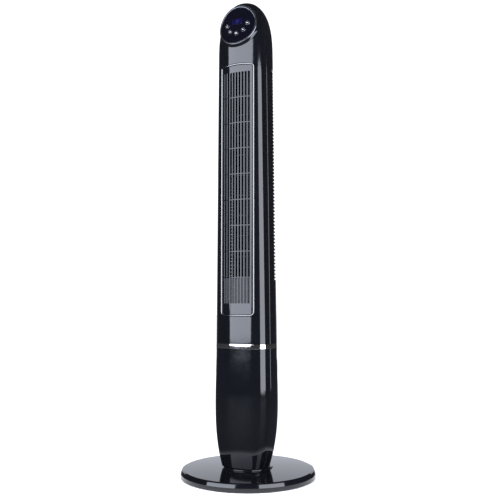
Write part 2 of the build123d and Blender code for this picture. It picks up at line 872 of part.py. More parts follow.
with BuildPart() as stator_windings:
    for z in (core_low - 8, core_low + core_height):
        with BuildSketch(Plane((0, impeller_y, z))):
            Circle(33)
            Circle(23.5, mode=Mode.SUBTRACT)
        extrude(amount=8)
    fillet(stator_windings.edges().filter_by(GeomType.CIRCLE).group_by(Axis.Z)[0], 2)
    fillet(stator_windings.edges().filter_by(GeomType.CIRCLE).group_by(Axis.Z)[-1], 2)
finish(stator_windings, "stator_windings")

with BuildPart() as motor_rotor:
    with BuildSketch(Plane((0, impeller_y, core_low - 1))):
        Circle(21.5)
        Circle(shaft_radius + 0.02, mode=Mode.SUBTRACT)
    extrude(amount=core_height + 2)
finish(motor_rotor, "motor_rotor")

with BuildPart() as motor_shaft:
    with BuildSketch(Plane((0, impeller_y, motor_low - 1.5))):
        Circle(shaft_radius)
    extrude(amount=impeller_low + 4 - motor_low + 1.5)
finish(motor_shaft, "motor_shaft")

with BuildPart() as motor_bushes:
    for z in (motor_low + 0.2, core_low + core_height + 10.2):
        with BuildSketch(Plane((0, impeller_y, z))):
            Circle(bush_radius)
            Circle(shaft_radius + 0.06, mode=Mode.SUBTRACT)
        extrude(amount=7.6)
finish(motor_bushes, "motor_bushes")

mount_z = motor_low - plate
with BuildPart() as motor_mount:
    add(column_section(mount_z + plate, wall + fit_gap).moved(Location((0, 0, -plate))))
    extrude(amount=plate)
    with BuildSketch(Plane((0, impeller_y, mount_z))):
        Circle(10)
        with Locations((-46, 10), (46, 10)):
            Circle(5)
    extrude(amount=plate, mode=Mode.SUBTRACT)
finish(motor_mount, "motor_mount")

# ================= control head =================
lens_drop = 0.6           # the lens sits just below the ring
lens_thick = 2.2
ring_thick = 3.0
display_size = (29.0, 15.0)
display_place = (0.0, 9.5)
board_face = -14.0
switch_height = 3.5
button_places = [
    (button_circle * cos(radians(turn)), button_lift + button_circle * sin(radians(turn)))
    for turn in (-170, -130, -90, -50, -10)
]
panel_up = Plane(origin=(0, 0, 0), x_dir=(1, 0, 0), z_dir=(0, 1, 0))


def panel_layer(front, back, radius):
    """A disc that curves with the panel, between front and back measured along the panel's normal."""
    with BuildPart() as layer:
        with BuildSketch(panel_up.offset(-60)):
            with Locations((0, panel_curve)):
                Circle(panel_curve + front)
                Circle(panel_curve + back, mode=Mode.SUBTRACT)
        extrude(amount=120)
        with BuildSketch(Plane.XY.offset(-40)):
            Circle(radius)
        extrude(amount=60, mode=Mode.INTERSECT)
    return layer.part.moved(panel_plane.location)


def curve_drop(x):
    """How far the panel falls back at a distance x from its middle."""
    return panel_curve - sqrt(panel_curve**2 - x * x)


with BuildPart() as control_housing:
    with BuildSketch(panel_plane.offset(housing_back)):
        Circle(housing_radius)
    extrude(amount=34)
    with BuildSketch(panel_plane.offset(housing_back + 2)):
        Circle(housing_radius - 2.2)
    extrude(amount=34, mode=Mode.SUBTRACT)
    with BuildSketch(panel_plane.offset(housing_back + 2)):
        Circle(housing_radius - 2.2)
        Circle(44.6, mode=Mode.SUBTRACT)
    extrude(amount=32)
    add(panel_layer(60, -ring_thick - 0.05, housing_radius + 5), mode=Mode.SUBTRACT)
    with BuildSketch(panel_plane.offset(housing_back + 2)):
        with Locations((-30, -20), (30, -20), (-30, 20), (30, 20)):
            Circle(3)
    extrude(amount=board_face - 1.6 - housing_back - 2)
finish(control_housing, "control_housing")

with BuildPart() as panel_ring:
    add(panel_layer(0, -ring_thick, panel_radius))
    add(panel_layer(10, -20, lens_radius + 0.15), mode=Mode.SUBTRACT)
finish(panel_ring, "panel_ring")

with BuildPart() as panel_lens:
    add(panel_layer(-lens_drop, -lens_drop - lens_thick, lens_radius))
    with BuildSketch(panel_plane.offset(-20)):
        with Locations(*button_places):
            Circle(button_radius + 0.3)
        with Locations(display_place):
            RectangleRounded(*display_size, 2)
    extrude(amount=40, mode=Mode.SUBTRACT)
finish(panel_lens, "panel_lens")

with BuildPart() as display_window:
    add(panel_layer(-lens_drop, -lens_drop - lens_thick, lens_radius))
    with BuildSketch(panel_plane.offset(-20)):
        with Locations(display_place):
            RectangleRounded(display_size[0] - 0.3, display_size[1] - 0.3, 1.9)
    extrude(amount=40, mode=Mode.INTERSECT)
finish(display_window, "display_window")

with BuildPart() as display_board:
    with BuildSketch(panel_plane.offset(board_face - 1.6)):
        Circle(44)
    extrude(amount=1.6)
finish(display_board, "display_board")

with BuildPart() as display_module:
    with BuildSketch(panel_plane.offset(board_face)):
        with Locations(display_place):
            Rectangle(display_size[0] - 1, display_size[1] - 1)
    extrude(amount=-board_face - lens_drop - lens_thick - curve_drop(display_size[0] / 2) - 0.2)
finish(display_module, "display_module")

with BuildPart() as tact_switches:
    with BuildSketch(panel_plane.offset(board_face)):
        with Locations(*button_places):
            Rectangle(6, 6)
    extrude(amount=switch_height - 1)
    with BuildSketch(panel_plane.offset(board_face + switch_height - 1)):
        with Locations(*button_places):
            Circle(1.7)
    extrude(amount=1)
finish(tact_switches, "tact_switches")

stem_low = board_face + switch_height + button_travel + 0.05
for name, place in zip(button_names, button_places):
    skirt = -lens_drop - lens_thick - curve_drop(abs(place[0]) + button_radius)
    with BuildPart() as button:
        with BuildSketch(panel_plane.offset(skirt)):
            with Locations(place):
                Circle(button_radius)
        extrude(amount=20)
        add(panel_layer(40, 0.3, lens_radius), mode=Mode.SUBTRACT)
        with BuildSketch(panel_plane.offset(stem_low)):
            with Locations(place):
                Circle(2)
        extrude(amount=skirt - stem_low)
    finish(button, f"button_{name}")

os.makedirs("parts", exist_ok=True)
for piece in pieces:
    export_step(piece, f"parts/{piece.label}.step")
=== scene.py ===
import json
from math import atan2, cos, pi, radians, sin, sqrt

import bmesh
import bpy
from mathutils import Matrix, Vector
from mathutils.bvhtree import BVHTree
from mathutils.kdtree import KDTree


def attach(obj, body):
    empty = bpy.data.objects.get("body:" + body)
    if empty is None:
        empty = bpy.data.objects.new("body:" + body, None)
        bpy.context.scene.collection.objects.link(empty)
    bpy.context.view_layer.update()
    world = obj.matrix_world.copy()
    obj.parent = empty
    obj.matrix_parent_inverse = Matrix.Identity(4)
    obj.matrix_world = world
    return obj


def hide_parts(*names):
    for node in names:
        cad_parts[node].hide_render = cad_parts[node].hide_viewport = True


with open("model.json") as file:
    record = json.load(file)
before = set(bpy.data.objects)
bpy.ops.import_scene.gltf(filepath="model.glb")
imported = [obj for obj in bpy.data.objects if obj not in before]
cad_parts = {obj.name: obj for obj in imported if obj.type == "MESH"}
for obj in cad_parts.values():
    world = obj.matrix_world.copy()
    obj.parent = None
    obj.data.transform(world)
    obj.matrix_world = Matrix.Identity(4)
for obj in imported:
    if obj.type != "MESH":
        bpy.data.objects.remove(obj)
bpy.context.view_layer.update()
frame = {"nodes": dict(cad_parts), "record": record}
nodes = frame["nodes"]
print("frame loaded:", len(nodes), "CAD nodes")

mm = 0.001


# colours, nodes and meshes
def hexLinear(text):
    parts = [int(text[i:i + 2], 16) / 255 for i in (1, 3, 5)]
    return tuple(c / 12.92 if c <= 0.04045 else ((c + 0.055) / 1.055) ** 2.4 for c in parts) + (1.0,)


def addNode(tree, kind, values=None, **settings):
    node = tree.nodes.new("ShaderNode" + kind)
    for name, value in settings.items():
        setattr(node, name, value)
    for name, value in (values or {}).items():
        if isinstance(value, bpy.types.NodeSocket):
            tree.links.new(value, node.inputs[name])
        else:
            node.inputs[name].default_value = value
    return node


def spread(tree, value, low, high, start=0.3, end=0.7):
    ends = {"Value": value, "From Min": start, "From Max": end, "To Min": low, "To Max": high}
    return addNode(tree, "MapRange", ends).outputs["Result"]


def startMaterial(name, shader):
    material = bpy.data.materials.new(name)
    material.use_nodes = True
    tree = material.node_tree
    surface = tree.nodes["Principled BSDF"]
    for key, value in shader.items():
        surface.inputs[key].default_value = value
    coords = addNode(tree, "TexCoord").outputs["Object"]
    return material, tree, surface, coords


def noise(tree, coords, size, detail=2.0, rough=0.5):
    values = {"Vector": coords, "Scale": 1 / size, "Detail": detail, "Roughness": rough}
    return addNode(tree, "TexNoise", values).outputs["Fac"]


def blendColour(tree, factor, first, second):
    mix = addNode(tree, "Mix", {"Factor": factor}, data_type="RGBA")
    mix.inputs[6].default_value = hexLinear(first)
    mix.inputs[7].default_value = hexLinear(second)
    return mix.outputs[2]


def surfaceFinish(name, spec):
    # Sizes are in metres: tone is colour drift, wear is roughness drift, grain is the moulded or rolled texture.
    material, tree, surface, coords = startMaterial(name, spec.get("shader", {}))
    if spec.get("stretch"):
        coords = addNode(tree, "Mapping", {"Vector": coords, "Scale": spec["stretch"]}).outputs["Vector"]
    tone = noise(tree, coords, spec["toneSize"], 3.0)
    wear = noise(tree, coords, spec["wearSize"], 4.0, 0.6)
    grain = noise(tree, coords, spec["grainSize"], spec.get("grainDetail", 2.0))
    colour = blendColour(tree, spread(tree, tone, 0.0, 1.0), *spec["colours"])
    tree.links.new(colour, surface.inputs["Base Color"])
    tree.links.new(spread(tree, wear, *spec["roughness"]), surface.inputs["Roughness"])
    bump = {"Height": grain, "Strength": spec["grainStrength"], "Distance": spec["grainDepth"]}
    tree.links.new(addNode(tree, "Bump", bump).outputs["Normal"], surface.inputs["Normal"])
    return material


def dress(mesh, angle):
    mesh.polygons.foreach_set("use_smooth", [True] * len(mesh.polygons))
    mesh.set_sharp_from_angle(angle=radians(angle))


def addPiece(name, bm, material, body, replaced=(), angle=50):
    mesh = bpy.data.meshes.new(name)
    bm.to_mesh(mesh)
    bm.free()
    mesh.materials.append(material)
    dress(mesh, angle)
    piece = bpy.data.objects.new(name, mesh)
    bpy.context.collection.objects.link(piece)
    # Large flat faces keep their own normals, so only the narrow rounded edges shade as round.
    weighted = piece.modifiers.new("weighted", "WEIGHTED_NORMAL")
    weighted.weight = 90
    weighted.keep_sharp = True
    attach(piece, body)
    if replaced:
        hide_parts(*replaced)
    return piece


def tempObject(bm):
    mesh = bpy.data.meshes.new("cutter")
    bm.to_mesh(mesh)
    bm.free()
    cutter = bpy.data.objects.new("cutter", mesh)
    bpy.context.collection.objects.link(cutter)
    return cutter


def bakeModifiers(bm, steps, cutters=()):
    # Runs the modifiers on a mesh and gives the result back as a bmesh.
    helper = tempObject(bm)
    for kind, settings in steps:
        modifier = helper.modifiers.new(kind.lower(), kind)
        for key, value in settings.items():
            setattr(modifier, key, value)
    for cutter in cutters:
        modifier = helper.modifiers.new("cut", "BOOLEAN")
        modifier.operation = "DIFFERENCE"
        modifier.solver = "EXACT"
        modifier.object = cutter
    graph = bpy.context.evaluated_depsgraph_get()
    result = bmesh.new()
    result.from_object(helper, graph)
    for done in (helper, *cutters):
        old = done.data
        bpy.data.objects.remove(done)
        bpy.data.meshes.remove(old)
    return result


def loftRings(rings):
    # A closed outline is drawn once, then extruded ring by ring and shaped to each section.
    bm = bmesh.new()
    first = [bm.verts.new(p) for p in rings[0]]
    edges = [bm.edges.new((a, b)) for a, b in zip(first, first[1:] + first[:1])]
    previous = rings[0]
    for ring in rings[1:]:
        nearest = KDTree(len(previous))
        for i, p in enumerate(previous):
            nearest.insert(p, i)
        nearest.balance()
        grown = bmesh.ops.extrude_edge_only(bm, edges=edges)["geom"]
        edges = [g for g in grown if isinstance(g, bmesh.types.BMEdge)]
        for v in (g for g in grown if isinstance(g, bmesh.types.BMVert)):
            v.co = ring[nearest.find(v.co)[1]]
        previous = ring
    return bm, edges

def closedLoft(rings):
    # A loft whose last ring joins its first, as on a band or a bead.
    bm = loftRings(rings)[0]
    bmesh.ops.bridge_loops(bm, edges=[e for e in bm.edges if e.is_boundary])
    bmesh.ops.recalc_face_normals(bm, faces=bm.faces)
    return bm


def faceOutwards(bm):
    # Turns an open skin so that its faces look away from the Z axis.
    bm.normal_update()
    bmesh.ops.recalc_face_normals(bm, faces=bm.faces)
    face = bm.faces[:][len(bm.faces) // 2]
    away = face.calc_center_median()
    away.z = 0
    if face.normal.dot(away) < 0:
        bmesh.ops.reverse_faces(bm, faces=bm.faces)


def spinProfile(points, steps):
    # Turns a profile in the XZ plane all the way round the Z axis.
    bm = bmesh.new()
    verts = [bm.verts.new(p) for p in points]
    edges = [bm.edges.new((a, b)) for a, b in zip(verts, verts[1:])]
    bmesh.ops.spin(bm, geom=verts + edges, cent=(0, 0, 0), axis=(0, 0, 1), angle=2 * pi, steps=steps,
                   use_merge=True)
    bmesh.ops.remove_doubles(bm, verts=bm.verts, dist=1e-6)
    bmesh.ops.recalc_face_normals(bm, faces=bm.faces)
    return bm


def roundCorner(before, corner, after, radius, steps=4):
    # Points of a rounded corner in a profile.
    a, b, c = (Vector(p) for p in (before, corner, after))
    inward, outward = (a - b).normalized(), (c - b).normalized()
    half = inward.angle(outward) / 2
    reach = min(radius / max(sin(half) / cos(half), 1e-6), (a - b).length * 0.49, (c - b).length * 0.49)
    start, end = b + inward * reach, b + outward * reach
    points = []
    for i in range(steps + 1):
        t = i / steps
        points.append(tuple(start * (1 - t) ** 2 + b * 2 * t * (1 - t) + end * t * t))
    return points


def roundProfile(corners):
    # Each corner is (x, z, radius); gives profile points in the XZ plane.
    points = []
    count = len(corners)
    for i, (x, z, radius) in enumerate(corners):
        if radius and 0 < i < count - 1:
            before, after = corners[i - 1], corners[i + 1]
            points += roundCorner((before[0], 0, before[1]), (x, 0, z), (after[0], 0, after[1]), radius)
        else:
            points.append((x, 0, z))
    return [tuple(c * mm for c in p) for p in points]


# materials, each named for its real finish
finishes = {
    # Injection-moulded ABS from a polished tool: deep gloss with a very slight orange peel.
    "glossBlackAbs": {
        "colours": ("#07080b", "#0a0b10"), "roughness": (0.05, 0.09), "toneSize": 0.12, "wearSize": 0.03,
        "grainSize": 0.009, "grainStrength": 0.05, "grainDepth": 0.0004, "shader": {"IOR": 1.52}},
    # The same ABS from a spark-eroded tool: satin, with a fine leathery grain drawn coarser than the real 0.3 mm.
    "satinBlackAbs": {
        "colours": ("#131417", "#1a1b1f"), "roughness": (0.32, 0.45), "toneSize": 0.06, "wearSize": 0.02,
        "grainSize": 0.0012, "grainStrength": 0.25, "grainDepth": 0.0002, "shader": {"IOR": 1.5}},
    # Glass-filled styrene impeller: flat grey with flow marks along the blades.
    "glassFilledGrey": {
        "colours": ("#232528", "#2e3033"), "roughness": (0.4, 0.55), "toneSize": 0.02, "wearSize": 0.012,
        "grainSize": 0.0015, "grainStrength": 0.2, "grainDepth": 0.0002, "shader": {"IOR": 1.5}},
    # Hard clear lacquer over black ABS on the outlet's surround: it mirrors the lamps more strongly.
    "lacqueredTrim": {
        "colours": ("#08090c", "#0b0c11"), "roughness": (0.08, 0.13), "toneSize": 0.08, "wearSize": 0.02,
        "grainSize": 0.009, "grainStrength": 0.04, "grainDepth": 0.0003, "shader": {"IOR": 2.8}},
    # Chrome plating on ABS: mirror bright with hardly any ripple.
    "chromePlate": {
        "colours": ("#e6e7ea", "#eef0f2"), "roughness": (0.03, 0.07), "toneSize": 0.05, "wearSize": 0.02,
        "grainSize": 0.012, "grainStrength": 0.03, "grainDepth": 0.0003, "shader": {"Metallic": 1.0}},
    # Silver lacquer over ABS, on the panel's ring and the buttons: metallic flake under a thin clear coat.
    "silverLacquer": {
        "colours": ("#55585d", "#66696e"), "roughness": (0.16, 0.24), "toneSize": 0.01, "wearSize": 0.02,
        "grainSize": 0.001, "grainStrength": 0.08, "grainDepth": 0.0001,
        "shader": {"Metallic": 0.9, "Coat Weight": 0.5, "Coat Roughness": 0.06}},
    # White pad-printed ink of the button symbols: dull and even.
    "whiteInk": {
        "colours": ("#c8cacd", "#d8dadc"), "roughness": (0.35, 0.5), "toneSize": 0.003, "wearSize": 0.003,
        "grainSize": 0.0008, "grainStrength": 0.1, "grainDepth": 0.0001, "shader": {"IOR": 1.48}},
    # Cast acrylic, back-printed black: flat and very clean.
    "blackAcrylic": {
        "colours": ("#05050c", "#07070f"), "roughness": (0.03, 0.06), "toneSize": 0.05, "wearSize": 0.02,
        "grainSize": 0.02, "grainStrength": 0.01, "grainDepth": 0.0002, "shader": {"IOR": 1.49}},
    # Tinted window over the display, faintly lit from behind.
    "litWindow": {
        "colours": ("#05051c", "#070724"), "roughness": (0.04, 0.07), "toneSize": 0.012, "wearSize": 0.02,
        "grainSize": 0.02, "grainStrength": 0.01, "grainDepth": 0.0002,
        "shader": {"IOR": 1.49, "Emission Color": hexLinear("#1c18a8"), "Emission Strength": 0.02}},
    # Blue light-emitting segments seen through the tint.
    "blueSegments": {
        "colours": ("#0a083a", "#0e0b48"), "roughness": (0.3, 0.4), "toneSize": 0.004, "wearSize": 0.02,
        "grainSize": 0.01, "grainStrength": 0.0, "grainDepth": 0.0001,
        "shader": {"Emission Color": hexLinear("#3a32ff"), "Emission Strength": 0.03}},
    # Black pad-printed face of each button: smooth, with a low sheen.
    "blackInk": {
        "colours": ("#0a0a0d", "#101014"), "roughness": (0.3, 0.45), "toneSize": 0.004, "wearSize": 0.004,
        "grainSize": 0.001, "grainStrength": 0.1, "grainDepth": 0.0001, "shader": {"IOR": 1.48}},
    # Zinc-plated pressed steel: dull bright grey with a faint spangle and rolling streaks.
    "zincPlate": {
        "colours": ("#7d8084", "#96999c"), "roughness": (0.28, 0.42), "toneSize": 0.008, "wearSize": 0.02,
        "grainSize": 0.0015, "grainStrength": 0.15, "grainDepth": 0.0001, "stretch": (1.0, 1.0, 6.0),
        "shader": {"Metallic": 1.0}},
    # Stacked electrical steel: dark, with laminations about half a millimetre thick.
    "laminatedSteel": {
        "colours": ("#3c3d40", "#55575a"), "roughness": (0.4, 0.55), "toneSize": 0.02, "wearSize": 0.01,
        "grainSize": 0.02, "grainStrength": 0.5, "grainDepth": 0.0002, "stretch": (0.05, 0.05, 30.0),
        "shader": {"Metallic": 0.9}},
    # Varnished copper wire wound round the core: wire about half a millimetre thick.
    "varnishedCopper": {
        "colours": ("#8a3c1c", "#b45a2c"), "roughness": (0.25, 0.4), "toneSize": 0.006, "wearSize": 0.01,
        "grainSize": 0.01, "grainStrength": 0.7, "grainDepth": 0.0004, "stretch": (0.4, 0.4, 14.0),
        "shader": {"Metallic": 0.8, "Coat Weight": 0.6, "Coat Roughness": 0.15}},
    # Screws with a black oxide finish.
    "blackOxide": {
        "colours": ("#1b1c1e", "#2a2b2d"), "roughness": (0.3, 0.45), "toneSize": 0.003, "wearSize": 0.003,
        "grainSize": 0.0006, "grainStrength": 0.1, "grainDepth": 0.0001, "shader": {"Metallic": 0.9}},
    # Oil-filled sintered bronze: open grain, dull.
    "sinteredBronze": {
        "colours": ("#7a5a30", "#93703e"), "roughness": (0.4, 0.6), "toneSize": 0.002, "wearSize": 0.003,
        "grainSize": 0.0005, "grainStrength": 0.4, "grainDepth": 0.0001, "shader": {"Metallic": 0.9}},
    # Natural acetal: waxy white and slightly translucent.
    "naturalAcetal": {
        "colours": ("#dcd9cf", "#e6e3da"), "roughness": (0.3, 0.42), "toneSize": 0.02, "wearSize": 0.01,
        "grainSize": 0.001, "grainStrength": 0.08, "grainDepth": 0.0001, "shader": {"IOR": 1.48}},
    # Moulded rubber: matt, with a little grey bloom.
    "blackRubber": {
        "colours": ("#151515", "#222222"), "roughness": (0.65, 0.85), "toneSize": 0.006, "wearSize": 0.004,
        "grainSize": 0.0008, "grainStrength": 0.3, "grainDepth": 0.0001, "shader": {"IOR": 1.5}},
    # Fibreglass board under green solder mask, with the weave just showing.
    "solderMask": {
        "colours": ("#0c3b22", "#11512f"), "roughness": (0.25, 0.4), "toneSize": 0.004, "wearSize": 0.006,
        "grainSize": 0.0009, "grainStrength": 0.2, "grainDepth": 0.0001, "shader": {"IOR": 1.55}},
    # Black epoxy moulding on electrical parts.
    "epoxyBlack": {
        "colours": ("#18191a", "#26282a"), "roughness": (0.4, 0.6), "toneSize": 0.006, "wearSize": 0.004,
        "grainSize": 0.0007, "grainStrength": 0.2, "grainDepth": 0.0001, "shader": {"IOR": 1.5}},
}
made = {name: surfaceFinish(name, spec) for name, spec in finishes.items()}
slotFinish = {
    "gloss_black": "glossBlackAbs", "satin_black": "satinBlackAbs", "impeller_grey": "glassFilledGrey",
    "bright_chrome": "chromePlate", "satin_silver": "silverLacquer", "panel_black": "blackAcrylic",
    "display_blue": "litWindow", "button_silver": "silverLacquer", "zinc_steel": "zincPlate",
    "core_steel": "laminatedSteel", "copper_winding": "varnishedCopper", "screw_steel": "blackOxide",
    "bush_bronze": "sinteredBronze", "white_acetal": "naturalAcetal", "black_rubber": "blackRubber",
    "circuit_green": "solderMask", "component_black": "epoxyBlack",
}
for part in frame["record"]["subparts"]:
    carried = nodes[part["node"]]
    carried.data.materials.clear()
    carried.data.materials.append(made[slotFinish[part["material_slot"]]])
print("materials made:", len(made))

# camera, floor and light
view = {"azimuth": 28.0, "distance": 1.836, "height": 0.431, "pitch": 3.69, "aside": 0.146, "lens": 53.63}
cameraData = bpy.data.cameras.new("camera")
cameraData.lens = view["lens"]
cameraData.sensor_width = 36.0
camera = bpy.data.objects.new("camera", cameraData)
turn = radians(view["azimuth"])
camera.location = (sin(turn) * view["distance"], -cos(turn) * view["distance"], view["height"])
camera.rotation_euler = (radians(90 + view["pitch"]), 0, turn - radians(view["aside"]))
bpy.context.collection.objects.link(camera)
bpy.context.scene.camera = camera
bpy.context.scene.view_settings.view_transform = "Standard"

floorSpec = {"size": 30.0, "colours": ("#f4f4f4", "#fafafa"), "paintedShade": "#3c3d40", "near": 0.16, "far": 0.26}
floorMaterial = surfaceFinish("paleFloor", {
    "colours": floorSpec["colours"], "roughness": (0.6, 0.75), "toneSize": 1.5, "wearSize": 0.8,
    "grainSize": 0.05, "grainStrength": 0.02, "grainDepth": 0.0005, "shader": {"Specular IOR Level": 0.1}})
# Away from the fan the floor's colour is painted dark grey for glossy rays only. This is painted shade: the gloss
# mirrors it as an unlit studio floor outside the lights.
tree = floorMaterial.node_tree
away = addNode(tree, "VectorMath", {"Vector": addNode(tree, "TexCoord").outputs["Object"]}, operation="LENGTH")
paintedShadeFade = addNode(tree, "MapRange", {"Value": away.outputs["Value"], "From Min": floorSpec["near"],
                                 "From Max": floorSpec["far"]}, interpolation_type="SMOOTHSTEP")
paintedShadeMask = addNode(tree, "Math", {0: paintedShadeFade.outputs["Result"], 1: addNode(tree, "LightPath").outputs["Is Glossy Ray"]},
               operation="MULTIPLY")
surface = tree.nodes["Principled BSDF"]
mix = addNode(tree, "Mix", {"Factor": paintedShadeMask.outputs["Value"]}, data_type="RGBA")
tree.links.new(surface.inputs["Base Color"].links[0].from_socket, mix.inputs[6])
# painted shade: the dark colour the floor takes in reflections
mix.inputs[7].default_value = hexLinear(floorSpec["paintedShade"])
tree.links.new(mix.outputs[2], surface.inputs["Base Color"])
bm = bmesh.new()
bmesh.ops.create_grid(bm, x_segments=1, y_segments=1, size=floorSpec["size"] / 2)
floorMesh = bpy.data.meshes.new("floor")
bm.to_mesh(floorMesh)
bm.free()
floorMesh.materials.append(floorMaterial)
floor = bpy.data.objects.new("floor", floorMesh)
bpy.context.collection.objects.link(floor)

# The open studio is bright all round, and the gloss mirrors it dark outside the lamps.
world = bpy.data.worlds.new("studio")
world.use_nodes = True
sky = world.node_tree
studio = {"open": 1.25, "reflected": 0.04}
background = sky.nodes["Background"]
background.inputs["Color"].default_value = hexLinear("#ffffff")
glossy = addNode(sky, "MapRange", {
    "Value": addNode(sky, "LightPath").outputs["Is Glossy Ray"],
    "To Min": studio["open"], "To Max": studio["reflected"]})
sky.links.new(glossy.outputs["Result"], background.inputs["Strength"])
bpy.context.scene.world = world

# azimuth, distance, height, width, height of the lamp, brightness, height aimed at, colour
softboxes = {
    "frontLamp": (-19.0, 1.7, 0.985, 1.62, 1.6, 7.0, 0.56, "#e9f0ff"),
    "rightLamp": (68.0, 1.7, 0.8, 1.37, 1.5, 6.6, 0.8, "#f0f4ff"),
    "backdrop": (208.0, 2.6, 0.62, 2.6, 1.1, 1.08, 0.62, "#eef3ff"),
}
for name, (azimuth, distance, height, width, tall, strength, aim, colour) in softboxes.items():
    lamp = bpy.data.lights.new(name, "AREA")
    lamp.shape = "RECTANGLE"
    lamp.size, lamp.size_y = width, tall
    lamp.energy = strength * width * tall * pi
    lamp.color = hexLinear(colour)[:3]
    box = bpy.data.objects.new(name, lamp)
    turn = radians(azimuth)
    box.location = (sin(turn) * distance, -cos(turn) * distance, height)
    box.rotation_euler = (Vector((0, 0, aim)) - box.location).to_track_quat("-Z", "Y").to_euler()
    box.visible_camera = False
    bpy.context.collection.objects.link(box)
print("camera, floor and lights set")

# the column's plan outline, the same at every piece that follows it
column = {
    "footZ": 29.5, "bellyZ": 182.0, "bandZ": 310.5, "bandTop": 321.5, "headZ": 1036.0, "topZ": 1164.37,
    "footHalf": 53.6, "bellyHalf": 72.8, "bandHalf": 71.0, "headHalf": 61.8,
    "footDepth": 54.5, "bellyDepth": 64.0, "frontDepth": 62.0, "faceCurve": 140.0, "cornerShare": 0.44,
    "seamY": -21.0, "seamGap": 0.4, "wall": 2.6, "edge": 0.5, "roll": (1.2, 3.0), "rollSteps": 4,
}


def columnStation(z):
    c = column
    if z < c["bandTop"]:
        if z < c["bellyZ"]:
            fall = (c["bellyZ"] - z) / (c["bellyZ"] - c["footZ"])
            width = c["bellyHalf"] - (c["bellyHalf"] - c["footHalf"]) * fall**2.4
            depth = c["bellyDepth"] - (c["bellyDepth"] - c["footDepth"]) * fall**3.2
        else:
            rise = min((z - c["bellyZ"]) / (c["bandZ"] - c["bellyZ"]), 1.0)
            ease = rise**2 * (3 - 2 * rise)
            width = c["bellyHalf"] - (c["bellyHalf"] - c["bandHalf"]) * ease
            depth = c["bellyDepth"] - (c["bellyDepth"] - c["frontDepth"]) * ease
        return width, depth, c["cornerShare"] * width, c["faceCurve"], 0.0
    share = (z - c["bandTop"]) / (c["headZ"] - c["bandTop"])
    width = c["bandHalf"] + (c["headHalf"] - c["bandHalf"]) * share
    if z <= c["headZ"]:
        return width, c["frontDepth"], (c["cornerShare"] - 0.08 * share) * width, c["faceCurve"], 0.0
    t = (z - c["headZ"]) / (c["topZ"] - c["headZ"])
    dome = (1 - t**2.6) ** 0.364
    width *= dome
    corner = width * (0.36 + 0.58 * t**2)
    face = c["faceCurve"] * (1 - t**2) + 1.3 * width * t**2
    return width, c["frontDepth"] * dome, corner, face, -10.0 * t**4.4


outlineSteps = {"rear": 56, "side": 3, "corner": 16, "front": 36}


def columnRing(z, inset=0.0, station=None):
    # Points round the column at height z, from the left side over the rear to the right side and the front.
    width, depth, corner, face, shift = columnStation(z if station is None else station)
    width, depth, corner, face = width - inset, depth - inset, corner - inset, face - inset
    reach = width - corner
    side = depth - face + sqrt((face - corner) ** 2 - reach**2)
    lean = atan2(depth - face - side, reach)
    n = outlineSteps
    points = [(-width * cos(pi * i / n["rear"]), width * sin(pi * i / n["rear"])) for i in range(n["rear"] + 1)]
    points += [(width, -side * i / n["side"]) for i in range(1, n["side"])]
    for i in range(n["corner"] + 1):
        angle = lean * i / n["corner"]
        points.append((reach + corner * cos(angle), -side + corner * sin(angle)))
    for i in range(1, n["front"]):
        angle = lean + (-pi - 2 * lean) * i / n["front"]
        points.append((face * cos(angle), face - depth + face * sin(angle)))
    for i in range(n["corner"] + 1):
        angle = -pi - lean + lean * i / n["corner"]
        points.append((-reach + corner * cos(angle), -side + corner * sin(angle)))
    points += [(-width, -side * (1 - i / n["side"])) for i in range(1, n["side"])]
    return [(x * mm, (y + shift) * mm, z * mm) for x, y in points]


def columnTube(heights, capped=False):
    bm, edges = loftRings([columnRing(z) for z in heights])
    if capped:
        bmesh.ops.contextual_create(bm, geom=edges)
    faceOutwards(bm)
    return bm


def halfShell(bm, front, cutters=()):
    # Cuts the tube at the seam, rolls its edge inwards, gives it its wall and breaks its edges.
    side = -1 if front else 1
    roll = column["roll"][0 if front else 1] * mm
    seam = (column["seamY"] + side * column["seamGap"] / 2) * mm + side * roll
    everything = bm.verts[:] + bm.edges[:] + bm.faces[:]
    bmesh.ops.bisect_plane(bm, geom=everything, dist=1e-6, plane_co=(0, seam, 0), plane_no=(0, -side, 0),
                           clear_outer=True)
    bm.normal_update()
    edges = [e for e in bm.edges if e.is_boundary and all(abs(v.co.y - seam) < 1e-6 for v in e.verts)]
    starts = {v: (v.co.copy(), v.normal.copy()) for e in edges for v in e.verts}
    for step in range(1, column["rollSteps"] + 1):
        angle = pi / 2 * step / column["rollSteps"]
        geom = bmesh.ops.extrude_edge_only(bm, edges=edges)["geom"]
        edges = [g for g in geom if isinstance(g, bmesh.types.BMEdge)]
        grown = {}
        for v in (g for g in geom if isinstance(g, bmesh.types.BMVert)):
            before = next(e.other_vert(v) for e in v.link_edges if e.other_vert(v) in starts)
            place, normal = grown[v] = starts[before]
            inward = Vector((normal.x, 0, normal.z)).normalized() * roll * (1 - cos(angle))
            v.co = place - inward - Vector((0, side * roll * sin(angle), 0))
        starts = grown
    steps = [
        ("SOLIDIFY", {"thickness": column["wall"] * mm, "offset": -1.0, "use_even_offset": True}),
        ("BEVEL", {"width": column["edge"] * mm, "segments": 3, "limit_method": "ANGLE",
                   "angle_limit": radians(50)}),
    ]
    return bakeModifiers(bm, steps, cutters)


def withEnds(low, high, count, close=2.0):
    # Even heights, with one more close to each end so that the broken edge stays narrow.
    even = [low + (high - low) * i / count for i in range(count + 1)]
    return [low, low + close] + even[1:-1] + [high - close, high]


lowerHeights = withEnds(column["footZ"], column["bandZ"], 40)
bm = halfShell(columnTube(lowerHeights), True)
addPiece("lowerColumnFront", bm, made["glossBlackAbs"], "column", ["lower_front_shell"])
bm = halfShell(columnTube(lowerHeights), False)
addPiece("lowerColumnRear", bm, made["glossBlackAbs"], "column", ["lower_rear_shell"])
print("lower column made")

